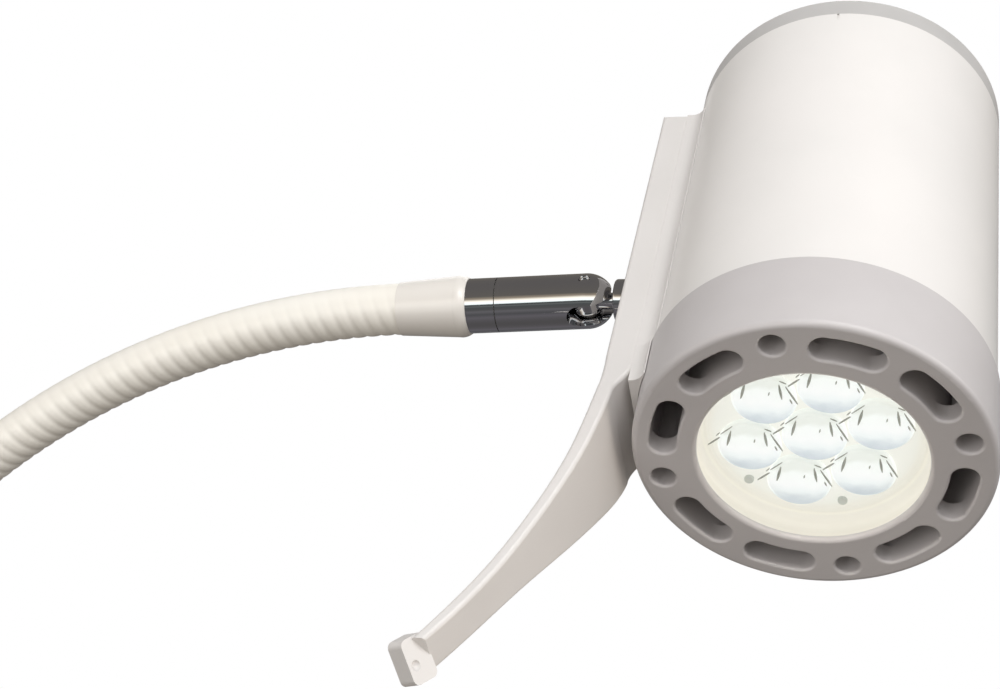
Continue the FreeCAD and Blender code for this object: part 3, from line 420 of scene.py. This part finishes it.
# The marks of a lens: start, end, width, and the front and back behind the lens's face, in millimetres.
LENS_MARKS = [
    ((12.9, 0.7), (8.6, 4.2), 0.42, 0.78, 1.18),
    ((5.0, 7.4), (6.7, 1.6), 0.85, -0.22, 0.48),
    ((-5.2, 7.0), (-5.7, 1.4), 0.75, -0.22, 0.48),
    ((-7.1, 6.1), (-10.2, -1.0), 0.5, 0.18, 0.58),
    ((8.4, 5.9), (4.4, 9.3), 0.26, 0.18, 0.48),
    ((-1.8, 3.1), (-2.2, 4.3), 0.4, -0.37, 0.18),
    ((9.9, 4.9), (8.6, 6.2), 0.28, 0.58, 0.88),
    ((-5.4, 8.3), (-7.4, 7.2), 0.28, 0.28, 0.58),
    ((-8.0, 1.2), (-8.6, -0.6), 0.4, -0.02, 0.38),
]


def blade(start, end, width, front, back):
    """Corners and faces of a thin pointed rib between two places in the head's plane."""
    start, end = Vector((*start, 0)), Vector((*end, 0))
    side = Vector((start.y - end.y, end.x - start.x, 0)).normalized()
    points, faces = [], []
    for i in range(BLADE_STEPS + 1):
        t = i / BLADE_STEPS
        middle = start.lerp(end, t)
        half = side * (width / 2 * math.sin(math.pi * (0.06 + 0.88 * t)) ** 0.8)
        for z in (front, back):
            points += [middle - half + Vector((0, 0, z)), middle + half + Vector((0, 0, z))]
    for i in range(BLADE_STEPS):
        a = 4 * i
        faces += [(a, a + 4, a + 5, a + 1), (a + 1, a + 5, a + 7, a + 3),
                  (a + 3, a + 7, a + 6, a + 2), (a + 2, a + 6, a + 4, a)]
    a = 4 * BLADE_STEPS
    faces += [(0, 1, 3, 2), (a, a + 2, a + 3, a + 1)]
    return points, faces


def lens_marks(index, x, y):
    """The slim ribs beside a lens and the leaf-shaped facets in its face."""
    points, faces = [], []
    for mark in LENS_MARKS:
        corners, quads = blade(*mark)
        faces += [tuple(i + len(points) for i in quad) for quad in quads]
        points += [corner * MM + Vector((0, 0, LENS_FRONT)) for corner in corners]
    piece = mesh_object(f"lens_ribs_{index}", points, faces)
    piece.data.materials.append(MATERIALS["rib_clear"])
    in_head(piece, x, y)


def lens_cup():
    """The pale cup: its skirt, a rounded foot, and a deck that dips round the lenses."""
    outline = [(WELL_RADIUS, WINDOW_BACK + 0.05 * MM), (WELL_RADIUS, DECK - 3.0 * MM)]
    outline += [(WELL_RADIUS - CUP_FOOT * (1 - math.cos(math.pi / 2 * i / 10)),
                 DECK - CUP_FOOT * (1 - math.sin(math.pi / 2 * i / 10))) for i in range(11)]
    outline += [(WELL_RADIUS - 3.1 * MM, DECK + 0.02 * MM)]
    outline += [(WELL_RADIUS - 3.1 * MM - 1.6 * MM * i / 8,
                 DECK + 0.02 * MM + 1.0 * MM * (0.5 - 0.5 * math.cos(math.pi * i / 8))) for i in range(1, 9)]
    outline += [(20 * MM, DECK + 2.4 * MM), (8 * MM, DECK + 2.5 * MM), (0.0, DECK + 2.5 * MM)]
    piece = revolved("lens_cup", outline, 128)
    piece.data.materials.append(MATERIALS["holder_white"])
    in_head(piece)
    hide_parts("lens_holder")


def deck_pads():
    """The two shallow pegs of the deck, each between a pair of outer lenses."""
    outline = [(0.0, 0.0)]
    outline += [(1.3 * MM * i / 6, 0.10 * MM * (i / 6) ** 2) for i in range(1, 7)]
    outline += [(1.5 * MM, 0.35 * MM), (1.6 * MM, 1.2 * MM)]
    for i in range(2):
        angle = math.radians(LENS_CLOCK - 30 - 60 * i)
        pad = revolved(f"deck_pad_{i + 1}", outline, 32)
        for vertex in pad.data.vertices:
            vertex.co.z += DECK + 0.25 * MM
        pad.data.materials.append(MATERIALS["pad_grey"])
        in_head(pad, PEG_CIRCLE * math.cos(angle), PEG_CIRCLE * math.sin(angle))


def lens_cluster():
    """Everything that shows behind the window."""
    lens_cup()
    deck_pads()
    for index, (x, y) in enumerate(lens_places(), 1):
        lens_optic(index, x, y)
        lens_marks(index, x, y)


def painted_glow_holder():
    """The cup's white plastic with the LEDs' light painted on as emission by radius: cooler round the lenses,
    creamy at the skirt.
    """
    material = plastic("holder_white", (0.25, 0.24, 0.21), (0.30, 0.29, 0.26), 0.4, Emission_Strength=0.70)
    tree = material.node_tree
    shader = tree.nodes["Principled BSDF"]
    where = tree.nodes.new("ShaderNodeTexCoord")
    flat = tree.nodes.new("ShaderNodeVectorMath")
    flat.operation = "MULTIPLY"
    flat.inputs[1].default_value = (1, 1, 0)
    reach = tree.nodes.new("ShaderNodeVectorMath")
    reach.operation = "LENGTH"
    outward = tree.nodes.new("ShaderNodeMapRange")
    outward.inputs["From Min"].default_value = 24 * MM
    outward.inputs["From Max"].default_value = 38 * MM
    tree.links.new(where.outputs["Object"], flat.inputs[0])
    tree.links.new(flat.outputs["Vector"], reach.inputs[0])
    tree.links.new(reach.outputs["Value"], outward.inputs["Value"])
    tree.links.new(ramp_node(tree, outward.outputs["Result"], CUP_PAINTED_GLOW_STOPS), shader.inputs["Emission Color"])
    return material


def painted_glow_lens():
    """A lens with its LED's light painted on as emission: white, with a painted pale blue reflection on its
    lower side.
    """
    material, shader = new_material("painted_glow_lens", (0.24, 0.26, 0.27), 0.12, Coat_Weight=0.5,
                                    Coat_Roughness=0.03, Emission_Strength=0.80)
    tree = material.node_tree
    where = tree.nodes.new("ShaderNodeTexCoord")
    split = tree.nodes.new("ShaderNodeSeparateXYZ")
    tree.links.new(where.outputs["Object"], split.inputs["Vector"])
    slow = noise(tree, 160.0, 3.0)
    wander = tree.nodes.new("ShaderNodeMath")
    wander.operation = "MULTIPLY_ADD"
    wander.inputs[1].default_value = 0.007
    tree.links.new(slow.outputs["Fac"], wander.inputs[0])
    tree.links.new(split.outputs["Y"], wander.inputs[2])
    across = tree.nodes.new("ShaderNodeMapRange")
    across.inputs["From Min"].default_value = -LENS_RADIUS
    across.inputs["From Max"].default_value = LENS_RADIUS
    tree.links.new(wander.outputs["Value"], across.inputs["Value"])
    tree.links.new(ramp_node(tree, across.outputs["Result"], LENS_PAINTED_GLOW_STOPS), shader.inputs["Emission Color"])
    return material


# ------------------------------------------------------------------ stage, lights and camera

FLOOR_SIDES = 60
FLOOR_RADIUS = 8.0                 # metres


def stage():
    """A pale floor under the object. It fades to the white of the backdrop."""
    floor_z = CAD_BOX[0].z - 1 * MM
    centre = (CAD_BOX[0] + CAD_BOX[1]) / 2
    rim = []
    for i in range(FLOOR_SIDES):
        angle = math.radians(360 / FLOOR_SIDES * i)
        spoke = Vector((math.cos(angle), math.sin(angle), 0)) * FLOOR_RADIUS
        rim.append((centre.x + spoke.x, centre.y + spoke.y, floor_z))
    floor = mesh_object("floor", rim, [tuple(range(FLOOR_SIDES))], smooth=False)
    material = bpy.data.materials.new("floor")
    material.use_nodes = True
    tree = material.node_tree
    tree.nodes.clear()
    near = tree.nodes.new("ShaderNodeBsdfDiffuse")
    near.inputs["Color"].default_value = (0.93, 0.93, 0.93, 1)
    glow = tree.nodes.new("ShaderNodeEmission")
    glow.inputs["Strength"].default_value = 0.18
    lifted = tree.nodes.new("ShaderNodeAddShader")
    far = tree.nodes.new("ShaderNodeEmission")
    where = tree.nodes.new("ShaderNodeTexCoord")
    offset = tree.nodes.new("ShaderNodeVectorMath")
    offset.operation = "DISTANCE"
    offset.inputs[1].default_value = (centre.x, centre.y, floor_z)
    fade = tree.nodes.new("ShaderNodeMapRange")
    fade.interpolation_type = "SMOOTHSTEP"
    fade.inputs["From Min"].default_value = 0.35
    fade.inputs["From Max"].default_value = 1.1
    mix = tree.nodes.new("ShaderNodeMixShader")
    out = tree.nodes.new("ShaderNodeOutputMaterial")
    tree.links.new(near.outputs["BSDF"], lifted.inputs[0])
    tree.links.new(glow.outputs["Emission"], lifted.inputs[1])
    tree.links.new(where.outputs["Object"], offset.inputs[0])
    tree.links.new(offset.outputs["Value"], fade.inputs["Value"])
    tree.links.new(fade.outputs["Result"], mix.inputs["Fac"])
    tree.links.new(lifted.outputs["Shader"], mix.inputs[1])
    tree.links.new(far.outputs["Emission"], mix.inputs[2])
    tree.links.new(mix.outputs["Shader"], out.inputs["Surface"])
    floor.data.materials.append(material)
    floor.visible_diffuse = False
    floor.visible_glossy = False
    floor.visible_shadow = False


def area_light(name, place, target, side, watts, color=(1, 1, 1)):
    """A soft square light aimed at a point."""
    light = bpy.data.lights.new(name, "AREA")
    light.shape = "RECTANGLE"
    light.size = light.size_y = side
    light.energy = watts
    light.color = color
    lamp = bpy.data.objects.new(name, light)
    lamp.location = place
    lamp.rotation_mode = "QUATERNION"
    lamp.rotation_quaternion = (target - lamp.location).to_track_quat("-Z", "Y")
    bpy.context.scene.collection.objects.link(lamp)
    return lamp


def lights():
    """A large soft key above the camera and fills all round; none of them lights the chrome.

    The spill of the LEDs falls on the front ring only, and a low warm fill on the bracket only.
    """
    middle = HEAD_FRONT + HEAD_AXIS * 90 * MM
    lamps = [
        area_light("key", middle + Vector((0.45, -1.55, 1.65)), middle, 1.5, 35),
        area_light("left", middle + Vector((-1.4, -1.7, 0.1)), middle, 1.6, 13, (1.0, 0.97, 0.93)),
        area_light("right", middle + Vector((1.9, -0.9, 0.8)), middle, 1.6, 13),
        area_light("back", middle + Vector((0.3, 1.9, 1.2)), middle, 1.6, 10),
    ]
    glow = bpy.data.lights.new("spill", "POINT")
    glow.energy = 0.04
    glow.shadow_soft_size = 14 * MM
    glow.color = (1.0, 0.94, 0.82)
    spill = bpy.data.objects.new("spill", glow)
    spill.location = HEAD @ Vector((0, 0, 2.4 * MM))
    spill.visible_camera = False
    bpy.context.scene.collection.objects.link(spill)
    lip = bpy.data.collections.new("lip")
    lip.objects.link(NODES["front_bezel"])
    spill.light_linking.receiver_collection = lip
    low = area_light("low", middle + Vector((1.2, -0.45, -0.95)), HEAD_FRONT, 0.6, 7, (1.0, 0.89, 0.78))
    handle = bpy.data.collections.new("handle")
    handle.objects.link(NODES["side_bracket"])
    low.light_linking.receiver_collection = handle
    bare = bpy.data.collections.new("bare_chrome")
    for name, node in NODES.items():
        if SLOTS[name] == "chrome":
            bare.objects.link(node)
    for link in bare.collection_objects:
        link.light_linking.link_state = "EXCLUDE"
    for lamp in lamps:
        lamp.light_linking.receiver_collection = bare


def ramp_node(tree, value, stops):
    """A colour ramp through (position, colour) stops."""
    ramp = tree.nodes.new("ShaderNodeValToRGB")
    elements = ramp.color_ramp.elements
    elements[0].position, elements[0].color = stops[0][0], (*stops[0][1], 1)
    elements[1].position, elements[1].color = stops[-1][0], (*stops[-1][1], 1)
    for position, color in stops[1:-1]:
        elements.new(position).color = (*color, 1)
    tree.links.new(value, ramp.inputs["Fac"])
    return ramp.outputs["Color"]


def background(tree, strength):
    """A world background of one strength."""
    made = tree.nodes.new("ShaderNodeBackground")
    made.inputs["Strength"].default_value = strength
    return made


def world():
    """White behind the object, soft light from all round, and a dim room with one tube for gloss."""
    made = bpy.data.worlds.new("room")
    bpy.context.scene.world = made
    made.use_nodes = True
    tree = made.node_tree
    tree.nodes.clear()
    where = tree.nodes.new("ShaderNodeTexCoord")
    split = tree.nodes.new("ShaderNodeSeparateXYZ")
    tree.links.new(where.outputs["Generated"], split.inputs["Vector"])
    height = tree.nodes.new("ShaderNodeMapRange")
    height.inputs["From Min"].default_value = -1.0
    tree.links.new(split.outputs["Z"], height.inputs["Value"])
    room = background(tree, 1.0)
    tree.links.new(ramp_node(tree, height.outputs["Result"], ROOM_STOPS), room.inputs["Color"])
    mirror = background(tree, 1.0)
    dim = ramp_node(tree, height.outputs["Result"], DIM_STOPS)
    tube = ramp_node(tree, height.outputs["Result"], TUBE_STOPS)
    front = tree.nodes.new("ShaderNodeMapRange")
    front.inputs["From Min"].default_value = 0.2
    front.inputs["From Max"].default_value = -0.2
    tree.links.new(split.outputs["Y"], front.inputs["Value"])
    lit = tree.nodes.new("ShaderNodeMix")
    lit.data_type = "RGBA"
    lit.inputs["A"].default_value = (0, 0, 0, 1)
    tree.links.new(front.outputs["Result"], lit.inputs["Factor"])
    tree.links.new(tube, lit.inputs["B"])
    strip = background(tree, 1.6)
    tree.links.new(lit.outputs["Result"], strip.inputs["Color"])
    tree.links.new(dim, mirror.inputs["Color"])
    both = tree.nodes.new("ShaderNodeAddShader")
    tree.links.new(mirror.outputs["Background"], both.inputs[0])
    tree.links.new(strip.outputs["Background"], both.inputs[1])
    seen = background(tree, 1.0)
    seen.inputs["Color"].default_value = (1, 1, 1, 1)
    ray = tree.nodes.new("ShaderNodeLightPath")
    glossy_mix = tree.nodes.new("ShaderNodeMixShader")
    camera_mix = tree.nodes.new("ShaderNodeMixShader")
    out = tree.nodes.new("ShaderNodeOutputWorld")
    tree.links.new(ray.outputs["Is Glossy Ray"], glossy_mix.inputs["Fac"])
    tree.links.new(room.outputs["Background"], glossy_mix.inputs[1])
    tree.links.new(both.outputs["Shader"], glossy_mix.inputs[2])
    tree.links.new(ray.outputs["Is Camera Ray"], camera_mix.inputs["Fac"])
    tree.links.new(glossy_mix.outputs["Shader"], camera_mix.inputs[1])
    tree.links.new(seen.outputs["Background"], camera_mix.inputs[2])
    tree.links.new(camera_mix.outputs["Shader"], out.inputs["Surface"])


CAMERA_PLACE = HEAD_FRONT - Vector((93.9, 542.5, -35.3)) * MM
SENSOR_WIDTH = 36.0                # millimetres, as the next one is
FOCAL_LENGTH = 64.8


def camera():
    """A level camera that looks along +Y from just above the front of the head."""
    made = bpy.data.cameras.new("camera")
    made.sensor_width = SENSOR_WIDTH
    made.lens = FOCAL_LENGTH
    made.clip_start = 0.01
    eye = bpy.data.objects.new("camera", made)
    eye.location = CAMERA_PLACE
    eye.rotation_euler = (math.pi / 2, 0, 0)
    bpy.context.scene.collection.objects.link(eye)
    bpy.context.scene.camera = eye


MATERIALS = make_materials()
dress_nodes()
gooseneck()
lens_cluster()
stage()
world()
lights()
camera()
bpy.context.scene.view_settings.view_transform = "Standard"
